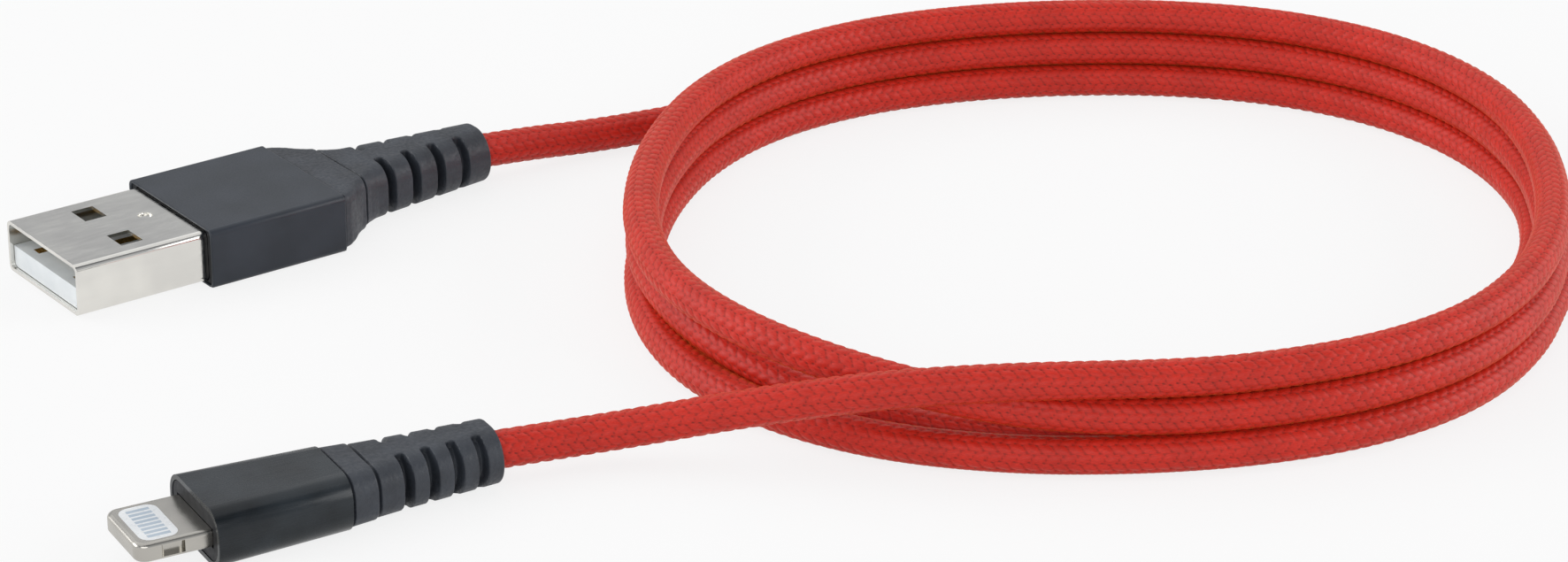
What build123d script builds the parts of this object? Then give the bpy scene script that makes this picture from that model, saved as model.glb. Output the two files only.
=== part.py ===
"""Braided charging cable: a type-A charger plug, a coiled cord and an 8-contact phone plug.

Millimetres. +X runs from the charger plug's mouth towards its cord, +Z is up, and the origin is on
the rest surface under the charger plug's housing.
"""

from build123d import *
import math
import os

# ---------------------------------------------------------------- driving dimensions
# Charger plug
MOUTH_TO_ORIGIN = 20.8
SHELL_WIDTH, SHELL_HEIGHT = 12.0, 4.5
SHELL_WALL = 0.3
SHELL_CORNER = 0.55
SHELL_OUT = 12.0  # length standing out of the housing
SHELL_IN = 6.2  # length held inside the housing
WINDOW_ACROSS, WINDOW_ALONG = 2.5, 2.0
WINDOW_SPREAD = 6.1  # between the centres of the two windows
WINDOW_FROM_MOUTH = 6.1
DIMPLE_FROM_MOUTH, DIMPLE_RADIUS, DIMPLE_DEPTH = 9.7, 0.6, 0.15
TONGUE_THICK = 1.9
TONGUE_RECESS = 0.35
TONGUE_TAIL = 0.8  # the tongue's block standing out behind the shell
TONGUE_BLOCK_FROM = 1.0  # from the housing's front to where that block begins
CONTACTS, CONTACT_WIDTH, CONTACT_THICK, CONTACT_PITCH = 4, 1.0, 0.2, 2.25
CONTACT_STARTS = (1.2, 2.2, 2.2, 1.2)  # from the mouth: the outer pair mates first
HOUSING_WIDTH, HOUSING_HEIGHT, HOUSING_LENGTH = 13.9, 5.2, 13.0
HOUSING_CORNER = 0.5
BEZEL_DEPTH = 0.8
BEZEL_SET_BACK = 0.15
BEZEL_RIM, BEZEL_RIM_ABOVE = 0.35, 0.15  # the housing's wall round the bezel
# Sections along the collar and the boot: (mm from its start, width, height, corner)
COLLAR_SECTIONS = [
    (0.0, 13.6, 4.9, 0.6),
    (0.7, 13.2, 4.9, 0.7),
    (1.5, 12.1, 4.9, 0.8),
    (2.2, 10.8, 4.9, 1.0),
    (2.9, 9.8, 4.9, 1.1),
    (3.4, 9.4, 4.9, 1.2),
]
BOOT_SECTIONS = [
    (0.0, 9.1, 4.8, 1.2),
    (0.8, 8.3, 4.8, 1.4),
    (1.8, 7.6, 4.8, 1.6),
    (3.6, 7.1, 4.9, 1.8),
    (14.0, 5.3, 5.0, 2.4),
]
COLLAR_LENGTH, BOOT_LENGTH = COLLAR_SECTIONS[-1][0], BOOT_SECTIONS[-1][0]
BOOT_FIRST_SLOT, BOOT_SLOT_PITCH, BOOT_SLOT_WIDTH = 3.3, 2.65, 0.8
SLOTS = 4
BOOT_CORE_RADIUS = 1.8  # sleeve left round the cord at each slot
BOOT_SPINE = 2.3  # width of the spine left along the top and bottom

# Phone plug
TAB_WIDTH, TAB_THICK = 6.7, 1.5
TAB_OUT, TAB_IN = 5.8, 2.4
TAB_CORNER, TAB_EDGE = 1.0, 0.35
INSERT_WIDTH, INSERT_LENGTH, INSERT_FROM_TIP, INSERT_CORNER = 5.5, 3.0, 0.7, 0.9
PAD_WIDTH, PAD_LENGTH, PAD_THICK, PAD_PITCH, PADS = 0.38, 1.8, 0.12, 0.6, 8
NOTCH_FROM_TIP, NOTCH_LENGTH, NOTCH_DEPTH, NOTCH_HEIGHT, NOTCH_CORNER = 1.9, 1.8, 0.5, 0.95, 0.35
CASE_WIDTH, CASE_HEIGHT, CASE_LENGTH, CASE_CORNER = 9.35, 4.7, 10.95, 1.85
CASE_REAR_WIDTH = 8.0  # the housing narrows towards its collar
CASE_WALL, CASE_SIDE_WALL = 0.4, 0.3
CAP_DEPTH = 0.8
CASE_COLLAR_SECTIONS = [(0.0, 7.7, 4.4, 1.7), (2.3, 7.2, 4.35, 1.7)]
PHONE_BOOT_SECTIONS = [
    (0.0, 6.9, 4.3, 1.7),
    (1.0, 6.7, 4.3, 1.7),
    (2.2, 6.5, 4.35, 1.8),
    (10.7, 5.5, 4.6, 2.25),
]
CASE_COLLAR_LENGTH, PHONE_BOOT_LENGTH = CASE_COLLAR_SECTIONS[-1][0], PHONE_BOOT_SECTIONS[-1][0]
PHONE_FIRST_SLOT, PHONE_SLOT_PITCH, PHONE_SLOT_WIDTH = 2.8, 2.1, 0.75
# The board inside it and what it carries: (from, to, width, height, middle across), along the plug's own axis
BOARD_FROM, BOARD_TO, BOARD_WIDTH, BOARD_THICK = 0.9, 6.9, 5.0, 0.6
CONTROL_CHIP = (3.5, 5.4, 1.9, 0.5, -0.9)
POWER_SWITCH = (3.5, 4.8, 1.2, 0.5, 0.9)
CAPACITOR_FROM, CAPACITOR_PITCH, CAPACITOR = 3.3, 0.75, (0.55, 1.0, 0.3, 1.2)
PHONE_SOLDER_WIDTH, PHONE_SOLDER_LENGTH, PHONE_SOLDER_PITCH = 0.7, 0.9, 1.15
JOINT_FROM_BOARD_END = 0.2
PHONE_AT = (-32.98, -46.08)  # the phone plug's housing front, on the rest surface
PHONE_YAW = -7.45  # degrees from +X

# Inside both plugs
SHIELD_SHEET = 0.25
SHIELD_CORNER, CORNER_LESS = 0.5, 0.1  # outside, and how much smaller it is inside
MOULD_CORNER = 0.3
CRIMP_WALL, CRIMP_LENGTH = 0.35, 1.8
WIRES = ("power", "data_minus", "data_plus", "ground")
WIRE_DIAMETER, WIRE_PITCH, WIRE_LIFT = 0.7, 0.85, 0.1
SOLDER_HEIGHT, SOLDER_LENGTH = 0.35, 1.0
JACKET_IN = 1.1  # how far the cord's jacket runs into a housing
CRIMP_FROM = 0.35  # from the collar's front to the crimp ring
FIT = 0.05  # clearance between pieces that seat in each other

# Cord and coil
CORD = 3.0
COIL_CENTRE = (54.07, -45.75)
COIL_RADIUS = 39.07  # to the middle of the wall of turns
COIL_FACING = 53.0  # degrees: the direction that the coil's slight out-of-roundness is measured from
COIL_OVAL, COIL_SKEW, COIL_SQUARE = 0.23, -1.4, -0.75
COIL_LAYERS = 3
COIL_JOIN, COIL_LEAVE = 84.0, -122.0  # degrees where the cord joins on the floor and leaves on top
SWAP_FROM, SWAP_TO = -2.0, -42.0  # where the extra turn passes from outside the wall to inside it
LEDGE_END = -175.0  # where the extra turn on the floor has risen into the wall
LEDGE_HALF, LEDGE_SIDE = 0.95, 0.55  # in cords: half the ledge's width, and its middle from the wall's
CHARGER_LEAD = [(27.4, -0.15, 2.1), (33.0, -0.9, 1.6), (40.0, -2.1, 1.5), (49.0, -3.5, 1.5)]
PHONE_LEAD = [
    (-2.5, -50.65, 2.1),
    (2.0, -53.5, 2.9),
    (6.6, -57.4, 4.3),
    (11.2, -61.6, 5.7),
    (16.6, -66.2, 6.9),
    (24.0, -71.6, 7.5),
]

# ---------------------------------------------------------------- worked out from them
X_MOUTH = -MOUTH_TO_ORIGIN
X_HOUSING = X_MOUTH + SHELL_OUT
X_COLLAR = X_HOUSING + HOUSING_LENGTH
X_BOOT = X_COLLAR + COLLAR_LENGTH
X_CORD = X_BOOT + BOOT_LENGTH
Z_PLUG = HOUSING_HEIGHT / 2
X_SHELL_END = X_HOUSING + SHELL_IN
SHELL_INSIDE_WIDTH = SHELL_WIDTH - 2 * SHELL_WALL
SHELL_INSIDE_HEIGHT = SHELL_HEIGHT - 2 * SHELL_WALL
TONGUE_TOP = -SHELL_INSIDE_HEIGHT / 2 + TONGUE_THICK
PHONE_X_COLLAR = CASE_LENGTH
PHONE_X_BOOT = PHONE_X_COLLAR + CASE_COLLAR_LENGTH
PHONE_X_CORD = PHONE_X_BOOT + PHONE_BOOT_LENGTH

os.makedirs("parts", exist_ok=True)


def write(name, shape):
    shape.label = name
    export_step(shape, f"parts/{name}.step")


def bar(x0, x1, width, height, corner=0.0, y=0.0, z=0.0):
    """A bar along X between two stations, with rounded long edges if asked."""
    section = RectangleRounded(width, height, corner) if corner else Rectangle(width, height)
    plane = Plane(origin=(x0, y, z), x_dir=(0, 1, 0), z_dir=(1, 0, 0))
    return extrude(plane * section, amount=x1 - x0)


def rod(x0, x1, diameter, y=0.0, z=0.0):
    plane = Plane(origin=(x0, y, z), x_dir=(0, 1, 0), z_dir=(1, 0, 0))
    return extrude(plane * Circle(diameter / 2), amount=x1 - x0)


def tapering(x0, sections):
    """A bar whose rounded section changes, each section (mm from x0, width, height, corner)."""
    sketches = []
    for run, width, height, corner in sections:
        plane = Plane(origin=(x0 + run, 0, 0), x_dir=(0, 1, 0), z_dir=(1, 0, 0))
        sketches.append(plane * RectangleRounded(width, height, corner))
    return loft(sketches, ruled=True)


def group(pieces):
    return Compound(children=list(pieces))


# ---------------------------------------------------------------- pieces that both plugs have
def boot(x0, sections, first_slot, pitch, slot_width):
    """Soft strain relief: a tapering sleeve, slotted on both sides so that it bends."""
    body = tapering(x0, sections)
    body -= rod(x0 - 1, x0 + sections[-1][0] + 1, CORD + 2 * FIT)
    _, width, height, _ = sections[0]
    for k in range(SLOTS):
        middle = x0 + first_slot + k * pitch
        slot = bar(middle - slot_width / 2, middle + slot_width / 2, 2 * width, 2 * height)
        slot -= rod(middle - slot_width, middle + slot_width, 2 * BOOT_CORE_RADIUS)
        slot -= bar(middle - slot_width, middle + slot_width, BOOT_SPINE, 2 * height + 1)
        body -= slot
    return body


def crimp_ring(x0):
    return rod(x0, x0 + CRIMP_LENGTH, CORD + 2 * FIT + 2 * CRIMP_WALL) - rod(
        x0 - 1, x0 + CRIMP_LENGTH + 1, CORD + 2 * FIT
    )


def shield_halves(x0, x1, width, height, corner):
    """Two stamped channels that close into a can round the solder joints."""
    can = bar(x0, x1, width, height, corner)
    can -= bar(x0 - 1, x1 + 1, width - 2 * SHIELD_SHEET, height - 2 * SHIELD_SHEET, corner - CORNER_LESS)
    upper = can & bar(x0, x1, width + 2, height, z=height / 2 + FIT / 2)
    lower = can & bar(x0, x1, width + 2, height, z=-height / 2 - FIT / 2)
    return upper, lower


def wire(x0, y0, z0, x1, y1, z1):
    """A straight insulated conductor between two places."""
    run = Vector(x1 - x0, y1 - y0, z1 - z0)
    return extrude(Plane(origin=(x0, y0, z0), z_dir=run) * Circle(WIRE_DIAMETER / 2), amount=run.length)


def wire_in_jacket(k):
    """Where conductor k of four leaves the jacket, so that none crosses another."""
    return (-1 if k < 2 else 1) * WIRE_PITCH / 2, (-1 if k in (0, 3) else 1) * WIRE_PITCH / 2


# ---------------------------------------------------------------- charger plug
def charger_shell():
    """Folded sheet with two latch windows above and below, and a pressed dimple."""
    shell = bar(X_MOUTH, X_SHELL_END, SHELL_WIDTH, SHELL_HEIGHT, SHELL_CORNER)
    shell -= bar(
        X_MOUTH - 1, X_SHELL_END + 1, SHELL_INSIDE_WIDTH, SHELL_INSIDE_HEIGHT, SHELL_CORNER - SHELL_WALL / 2
    )
    x = X_MOUTH + WINDOW_FROM_MOUTH
    for side in (-1, 1):
        window = bar(
            x - WINDOW_ALONG / 2, x + WINDOW_ALONG / 2, WINDOW_ACROSS, SHELL_HEIGHT + 1, y=side * WINDOW_SPREAD / 2
        )
        # The windows below face the tongue's back, so they open only the sheet.
        shell -= window
    dimple = Cylinder(DIMPLE_RADIUS, SHELL_WALL)
    shell -= Pos(X_MOUTH + DIMPLE_FROM_MOUTH, 0, SHELL_HEIGHT / 2 - DIMPLE_DEPTH + SHELL_WALL / 2) * dimple
    return shell


def charger_contact_place(k):
    return (k - (CONTACTS - 1) / 2) * CONTACT_PITCH


def charger_contact(k):
    """A flat strip let into the tongue's upper face, running back to its solder tail."""
    x0 = X_MOUTH + CONTACT_STARTS[k]
    return bar(
        x0,
        X_SHELL_END + TONGUE_TAIL + SOLDER_LENGTH,
        CONTACT_WIDTH,
        CONTACT_THICK,
        y=charger_contact_place(k),
        z=TONGUE_TOP - CONTACT_THICK / 2,
    )


def charger_tongue(contacts):
    tongue = bar(
        X_MOUTH + TONGUE_RECESS,
        X_SHELL_END,
        SHELL_INSIDE_WIDTH - 2 * FIT,
        TONGUE_THICK,
        z=TONGUE_TOP - TONGUE_THICK / 2,
    )
    back = bar(
        X_HOUSING + TONGUE_BLOCK_FROM,
        X_SHELL_END + TONGUE_TAIL,
        SHELL_INSIDE_WIDTH - 2 * FIT,
        SHELL_INSIDE_HEIGHT - 2 * FIT,
        SHELL_CORNER - SHELL_WALL / 2,
    )
    inside = bar(
        X_MOUTH,
        X_SHELL_END,
        SHELL_INSIDE_WIDTH - 2 * FIT,
        SHELL_INSIDE_HEIGHT - 2 * FIT,
        SHELL_CORNER - SHELL_WALL / 2,
    )
    tongue = (tongue & inside) + back
    for contact in contacts:
        tongue -= contact
    return tongue


def build_charger_plug():
    pieces = {"charger_shell": charger_shell()}
    contacts = [charger_contact(k) for k in range(CONTACTS)]
    pieces["charger_tongue"] = charger_tongue(contacts)
    pieces["charger_contacts"] = group(contacts)

    cavity = (SHELL_WIDTH + 2 * FIT, SHELL_HEIGHT + 2 * FIT, SHELL_CORNER)
    housing = bar(X_HOUSING, X_COLLAR, HOUSING_WIDTH, HOUSING_HEIGHT, HOUSING_CORNER)
    housing -= bar(X_HOUSING - 1, X_COLLAR + 1, *cavity)
    bezel_width, bezel_height = HOUSING_WIDTH - 2 * BEZEL_RIM, HOUSING_HEIGHT - 2 * BEZEL_RIM_ABOVE
    housing -= bar(X_HOUSING - 1, X_HOUSING + BEZEL_DEPTH, bezel_width, bezel_height, HOUSING_CORNER)
    pieces["charger_housing"] = housing
    pieces["charger_front_bezel"] = bar(
        X_HOUSING + BEZEL_SET_BACK,
        X_HOUSING + BEZEL_DEPTH,
        bezel_width - 2 * FIT,
        bezel_height - 2 * FIT,
        HOUSING_CORNER - FIT,
    ) - bar(X_HOUSING - 1, X_HOUSING + 2, *cavity)

    shield_start = X_SHELL_END + FIT
    upper, lower = shield_halves(
        shield_start, X_COLLAR - FIT, cavity[0] - 2 * FIT, cavity[1] - 2 * FIT, SHIELD_CORNER
    )
    pieces["charger_shield_upper"], pieces["charger_shield_lower"] = upper, lower

    jacket_start = X_COLLAR - JACKET_IN
    cord_end = rod(jacket_start, X_CORD, CORD)
    wires = {}
    solder = []
    joint_x = X_SHELL_END + TONGUE_TAIL + SOLDER_LENGTH
    for k, name in enumerate(WIRES):
        y = charger_contact_place(k)
        z = TONGUE_TOP + WIRE_DIAMETER / 2
        end_y, end_z = wire_in_jacket(k)
        wires[name] = wire(joint_x, y, z + WIRE_LIFT, jacket_start, end_y, end_z)
        solder.append(
            bar(joint_x - SOLDER_LENGTH, joint_x, CONTACT_WIDTH, SOLDER_HEIGHT, y=y, z=TONGUE_TOP + SOLDER_HEIGHT / 2)
        )
    for name, piece in wires.items():
        for joint in solder:
            piece -= joint
        for contact in contacts:
            piece -= contact
        pieces[f"charger_wire_{name}"] = piece - cord_end
    pieces["charger_solder_joints"] = group(solder)

    mould = bar(
        X_SHELL_END + TONGUE_TAIL + FIT,
        X_COLLAR - FIT,
        SHELL_INSIDE_WIDTH - 2 * FIT,
        SHELL_INSIDE_HEIGHT - 2 * FIT,
        MOULD_CORNER,
    )
    for piece in (*wires.values(), *solder, *contacts, cord_end):
        mould -= piece
    pieces["charger_inner_mould"] = mould
    pieces["charger_cord_end"] = cord_end

    collar = tapering(X_COLLAR, COLLAR_SECTIONS)
    crimp_x = X_COLLAR + CRIMP_FROM
    crimp = crimp_ring(crimp_x)
    collar -= rod(X_COLLAR - 1, X_BOOT + 1, CORD + 2 * FIT)
    collar -= rod(X_COLLAR - 1, crimp_x + CRIMP_LENGTH + FIT, CORD + 4 * FIT + 2 * CRIMP_WALL)
    pieces["charger_collar"] = collar
    pieces["charger_crimp_ring"] = crimp
    pieces["charger_boot"] = boot(X_BOOT, BOOT_SECTIONS, BOOT_FIRST_SLOT, BOOT_SLOT_PITCH, BOOT_SLOT_WIDTH)
    for name, piece in pieces.items():
        write(name, Pos(0, 0, Z_PLUG) * piece)


# ---------------------------------------------------------------- phone plug, in its own frame
def phone_place():
    return Pos(PHONE_AT[0], PHONE_AT[1], CASE_HEIGHT / 2) * Rot(0, 0, PHONE_YAW)


def phone_tab():
    """Machined frame with a window for the insert and a latch pocket in each edge."""
    plan = Pos(TAB_IN / 2 - TAB_OUT / 2, 0, 0) * RectangleRounded(TAB_OUT + TAB_IN, TAB_WIDTH, TAB_CORNER)
    tab = Pos(0, 0, -TAB_THICK / 2) * extrude(plan, amount=TAB_THICK)
    tab = fillet(tab.edges().filter_by(Plane.XY), TAB_EDGE)
    middle = -TAB_OUT + NOTCH_FROM_TIP + NOTCH_LENGTH / 2
    for side in (-1, 1):
        notch = Box(NOTCH_LENGTH, 2 * NOTCH_DEPTH, NOTCH_HEIGHT)
        notch = fillet(notch.edges().filter_by(Axis.Z), NOTCH_CORNER)
        tab -= Pos(middle, side * TAB_WIDTH / 2, 0) * notch
    return tab


def phone_insert_shape():
    x = -TAB_OUT + INSERT_FROM_TIP + INSERT_LENGTH / 2
    plan = Pos(x, 0, 0) * RectangleRounded(INSERT_LENGTH, INSERT_WIDTH, INSERT_CORNER)
    return Pos(0, 0, -TAB_THICK / 2) * extrude(plan, amount=TAB_THICK)


def phone_pads(side):
    x0 = -TAB_OUT + INSERT_FROM_TIP + (INSERT_LENGTH - PAD_LENGTH) / 2
    z = side * (TAB_THICK / 2 - PAD_THICK / 2)
    return [
        bar(x0, x0 + PAD_LENGTH, PAD_WIDTH, PAD_THICK, y=(k - (PADS - 1) / 2) * PAD_PITCH, z=z) for k in range(PADS)
    ]


def build_phone_plug():
    place = phone_place()
    pieces = {}
    insert = phone_insert_shape()
    tab = phone_tab()
    board_slot = bar(BOARD_FROM, TAB_IN + 1, BOARD_WIDTH, BOARD_THICK)
    pieces["phone_tab"] = tab - insert - board_slot
    upper, lower = phone_pads(1), phone_pads(-1)
    for pad in (*upper, *lower):
        insert -= pad
    pieces["phone_insert"] = insert
    pieces["phone_contacts_upper"] = group(upper)
    pieces["phone_contacts_lower"] = group(lower)
    pieces["phone_circuit_board"] = bar(BOARD_FROM, BOARD_TO, BOARD_WIDTH - 2 * FIT, BOARD_THICK)
    chip_z = BOARD_THICK / 2
    for name, side, (x0, x1, width, height, y) in (
        ("control_chip", 1, CONTROL_CHIP),
        ("power_switch", -1, POWER_SWITCH),
    ):
        pieces[f"phone_{name}"] = bar(x0, x1, width, height, y=y, z=side * (chip_z + height / 2))
    length, width, height, y = CAPACITOR
    starts = [CAPACITOR_FROM + CAPACITOR_PITCH * k for k in range(3)]
    pieces["phone_capacitors"] = group(bar(x, x + length, width, height, y=y, z=chip_z + height / 2) for x in starts)

    inner = (CASE_REAR_WIDTH - 2 * CASE_SIDE_WALL, CASE_HEIGHT - 2 * CASE_WALL, CASE_CORNER - CASE_WALL)
    front = (0, CASE_WIDTH, CASE_HEIGHT, CASE_CORNER)
    rear = (CASE_LENGTH, CASE_REAR_WIDTH, CASE_HEIGHT, CASE_CORNER)
    mouth = (CASE_WIDTH - 2 * CASE_WALL, inner[1], inner[2])
    case = tapering(0, [front, rear]) - bar(-1, PHONE_X_COLLAR + 1, *inner) - bar(-1, CAP_DEPTH, *mouth)
    pieces["phone_housing"] = case
    tab_slot = bar(-1, CAP_DEPTH + 1, TAB_WIDTH + 2 * FIT, TAB_THICK + 2 * FIT)
    cap = bar(FIT, CAP_DEPTH, mouth[0] - 2 * FIT, mouth[1] - 2 * FIT, mouth[2] - FIT)
    pieces["phone_front_cap"] = cap - tab_slot

    can = (inner[0] - 2 * FIT, inner[1] - 2 * FIT, inner[2] - FIT)
    can_x0, can_x1 = CAP_DEPTH + FIT, PHONE_X_COLLAR - FIT
    pieces["phone_shield_upper"], pieces["phone_shield_lower"] = shield_halves(can_x0, can_x1, *can)

    jacket_start = PHONE_X_COLLAR - JACKET_IN
    cord_end = rod(jacket_start, PHONE_X_CORD, CORD)
    wires, solder = {}, []
    joint_x = BOARD_TO - JOINT_FROM_BOARD_END
    for k, name in enumerate(WIRES):
        y = (k - (len(WIRES) - 1) / 2) * PHONE_SOLDER_PITCH
        joint = bar(joint_x - PHONE_SOLDER_LENGTH, joint_x, PHONE_SOLDER_WIDTH, SOLDER_HEIGHT, y=y)
        solder.append(Pos(0, 0, chip_z + SOLDER_HEIGHT / 2) * joint)
        end_y, end_z = wire_in_jacket(k)
        wires[name] = wire(joint_x + FIT, y, chip_z + WIRE_DIAMETER / 2 + WIRE_LIFT, jacket_start, end_y, end_z)
    chips = [pieces["phone_control_chip"], pieces["phone_power_switch"], *pieces["phone_capacitors"].solids()]
    mould = bar(
        can_x0, can_x1, can[0] - 2 * SHIELD_SHEET - 2 * FIT, can[1] - 2 * SHIELD_SHEET - 2 * FIT, can[2] - CORNER_LESS
    )
    board = pieces["phone_circuit_board"]
    for piece in wires.values():
        for joint in solder:
            piece -= joint
    for name, piece in wires.items():
        pieces[f"phone_wire_{name}"] = piece - board - cord_end
    pieces["phone_solder_joints"] = group(solder)
    for piece in (*wires.values(), *solder, *chips, board, cord_end, pieces["phone_tab"]):
        mould -= piece
    pieces["phone_inner_mould"] = mould
    pieces["phone_cord_end"] = cord_end

    collar = tapering(PHONE_X_COLLAR, CASE_COLLAR_SECTIONS)
    crimp_x = PHONE_X_COLLAR + CRIMP_FROM
    collar -= rod(PHONE_X_COLLAR - 1, PHONE_X_BOOT + 1, CORD + 2 * FIT)
    collar -= rod(PHONE_X_COLLAR - 1, crimp_x + CRIMP_LENGTH + FIT, CORD + 4 * FIT + 2 * CRIMP_WALL)
    pieces["phone_collar"] = collar
    pieces["phone_crimp_ring"] = crimp_ring(crimp_x)
    pieces["phone_boot"] = boot(
        PHONE_X_BOOT, PHONE_BOOT_SECTIONS, PHONE_FIRST_SLOT, PHONE_SLOT_PITCH, PHONE_SLOT_WIDTH
    )
    for name, piece in pieces.items():
        write(name, place * piece)


# ---------------------------------------------------------------- cord
def coil_radius(angle):
    """The middle of the wall of turns: nearly round, as a hand-wound coil is."""
    turn = math.radians(angle - COIL_FACING)
    return (
        COIL_RADIUS
        + COIL_OVAL * math.cos(2 * turn)
        + COIL_SKEW * math.sin(2 * turn)
        + COIL_SQUARE * math.cos(4 * turn)
    )


def coil_point(angle, outward=0.0, z=0.0):
    radius = coil_radius(angle) + outward
    a = math.radians(angle)
    return (COIL_CENTRE[0] + radius * math.cos(a), COIL_CENTRE[1] + radius * math.sin(a), z)


def coil_solid():
    """The wall of three turns, and the ledge of the extra turn that runs beside it on the floor."""
    steps = 24
    angles = [360 * k / steps for k in range(steps)]
    outer = make_face(Spline([coil_point(a, CORD / 2) for a in angles], periodic=True))
    inner = make_face(Spline([coil_point(a, -CORD / 2) for a in angles], periodic=True))
    wall = extrude(outer - inner, amount=COIL_LAYERS * CORD, dir=(0, 0, 1))
    ledge_steps = 37
    rim, hollow = [], []
    for k in range(ledge_steps + 1):
        angle = COIL_JOIN + (LEDGE_END - COIL_JOIN) * k / ledge_steps
        passed = min(1.0, max(0.0, (SWAP_FROM - angle) / (SWAP_FROM - SWAP_TO)))
        slide = LEDGE_SIDE * (1 - 2 * passed * passed * (3 - 2 * passed))
        rim.append(coil_point(angle, (slide + LEDGE_HALF) * CORD))
        hollow.append(coil_point(angle, (slide - LEDGE_HALF) * CORD))
    edge = Spline(rim) + Line(rim[-1], hollow[-1]) + Spline(list(reversed(hollow))) + Line(hollow[0], rim[0])
    ledge = extrude(make_face(edge), amount=CORD, dir=(0, 0, 1))
    return wall + ledge


def lead(points):
    """A round cord along straight runs joined by arcs as large as the runs allow."""
    corners = [Vector(*p) for p in points]
    radii = []
    for before, here, after in zip(corners, corners[1:], corners[2:]):
        shorter = min((here - before).length, (after - here).length)
        turn = math.radians((here - before).get_angle(after - here))
        radii.append(0.45 * shorter / math.tan(turn / 2))
    path = FilletPolyline(*points, radius=radii)
    start = Plane(origin=points[0], z_dir=corners[1] - corners[0])
    tube = sweep(start * Circle(CORD / 2), path=path)
    print("arc radii", [round(r, 1) for r in radii])
    print("volume over section times length", tube.volume / (math.pi * CORD**2 / 4 * path.length), path.length)
    return tube


def largest(shape):
    return max(shape.solids(), key=lambda solid: solid.volume)


def build_cord():
    coil = coil_solid()
    write("cord_coil", coil)
    join = coil_point(COIL_JOIN, CORD, CORD / 2)
    leave = coil_point(COIL_LEAVE, 0.0, (COIL_LAYERS - 0.5) * CORD)
    start = (X_CORD, 0, Z_PLUG)
    boot_end = (phone_place() * Pos(PHONE_X_CORD, 0, 0)).position
    charger_stop = Pos(0, 0, Z_PLUG) * rod(X_CORD - CORD, X_CORD, 2 * CORD)
    phone_stop = phone_place() * rod(PHONE_X_CORD - CORD, PHONE_X_CORD, 2 * CORD)
    # The ledge's end face is the upright plane through the coil's middle, so the lead ends flat on it.
    beyond = Pos(*COIL_CENTRE, 0) * Rot(0, 0, COIL_JOIN) * Pos(COIL_RADIUS, -CORD, 0) * Box(4 * CORD, 2 * CORD, 4 * CORD)
    past_join = Vector(*join) + (Vector(*join) - Vector(*CHARGER_LEAD[-1])).normalized() * CORD / 2
    charger_lead = lead([start, *CHARGER_LEAD, past_join.to_tuple()]) - beyond - charger_stop
    phone_lead = lead([boot_end, *PHONE_LEAD, leave]) - coil - phone_stop
    write("cord_lead_charger", largest(charger_lead))
    write("cord_lead_phone", largest(phone_lead))


build_charger_plug()
build_phone_plug()
build_cord()
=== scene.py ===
# %% [markdown]
# # Braided charging cable
#
# This notebook dresses a measured model of a charging cable: a flat charger plug, a cord wound in
# a low coil, and a small phone plug. It could be drawn again by eye, but then its sizes would be
# lost, so the measured pieces are loaded first and stay where they are. Hard pieces keep their
# measured shape and get a finish. The woven cord and the soft sleeves are modelled again in finer
# detail, in the same places.

# %% Load the measured frame
import math

import bpy
import numpy as np
from mathutils import Matrix, Vector


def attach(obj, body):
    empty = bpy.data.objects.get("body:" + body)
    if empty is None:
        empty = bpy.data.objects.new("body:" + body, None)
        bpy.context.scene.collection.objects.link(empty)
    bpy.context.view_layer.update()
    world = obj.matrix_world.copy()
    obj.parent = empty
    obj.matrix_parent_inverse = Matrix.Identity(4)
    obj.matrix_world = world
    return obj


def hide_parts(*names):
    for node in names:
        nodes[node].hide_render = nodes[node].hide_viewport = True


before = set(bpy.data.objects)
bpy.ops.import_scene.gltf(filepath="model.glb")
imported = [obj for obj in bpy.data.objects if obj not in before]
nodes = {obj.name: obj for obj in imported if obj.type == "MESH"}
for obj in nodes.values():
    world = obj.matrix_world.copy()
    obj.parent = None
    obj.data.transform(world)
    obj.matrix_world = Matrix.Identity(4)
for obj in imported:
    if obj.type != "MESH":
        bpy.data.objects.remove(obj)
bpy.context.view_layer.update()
MM = 0.001
print("measured pieces:", len(nodes))

# %% [markdown]
# ## Camera
#
# A cable on a table is seen best from low down and from one side, where both plugs and the height
# of the coil show. The camera could be placed by hand in the viewport. Here its place is worked
# out from a point on the table that it looks at, two angles and a distance, because those are the
# numbers that one wants to change. A long lens from 0.37 m keeps the plugs' edges nearly parallel.

# %% Camera
LENS, SENSOR = 101.58, 36.0  # mm
LOOK_AT = Vector((30.58, -33.20, 0.0)) * MM
AZIMUTH = math.radians(53.01)
ELEVATION = math.radians(24.38)
TILT = math.radians(0.48)
DISTANCE = 369.2 * MM
NEAREST, FARTHEST = 0.01, 10.0  # m: the camera draws what is between them


def make_camera():
    """A camera at its place, turned to look at its point on the table."""
    ahead = Vector(
        (
            math.cos(ELEVATION) * math.cos(AZIMUTH),
            math.cos(ELEVATION) * math.sin(AZIMUTH),
            -math.sin(ELEVATION),
        )
    )
    level = ahead.cross(Vector((0, 0, 1))).normalized()
    upright = level.cross(ahead)
    right = math.cos(TILT) * level + math.sin(TILT) * upright
    up = math.cos(TILT) * upright - math.sin(TILT) * level
    data = bpy.data.cameras.new("camera")
    data.sensor_width = SENSOR
    data.lens = LENS
    data.clip_start = NEAREST
    data.clip_end = FARTHEST
    camera = bpy.data.objects.new("camera", data)
    axes = Matrix((right, up, -ahead)).transposed().to_4x4()
    camera.matrix_world = Matrix.Translation(LOOK_AT - ahead * DISTANCE) @ axes
    bpy.context.scene.collection.objects.link(camera)
    bpy.context.scene.camera = camera
    return camera


camera = make_camera()
print("lens, mm:", round(camera.data.lens, 1), "height, m:", round(camera.matrix_world.translation.z, 3))

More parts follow.
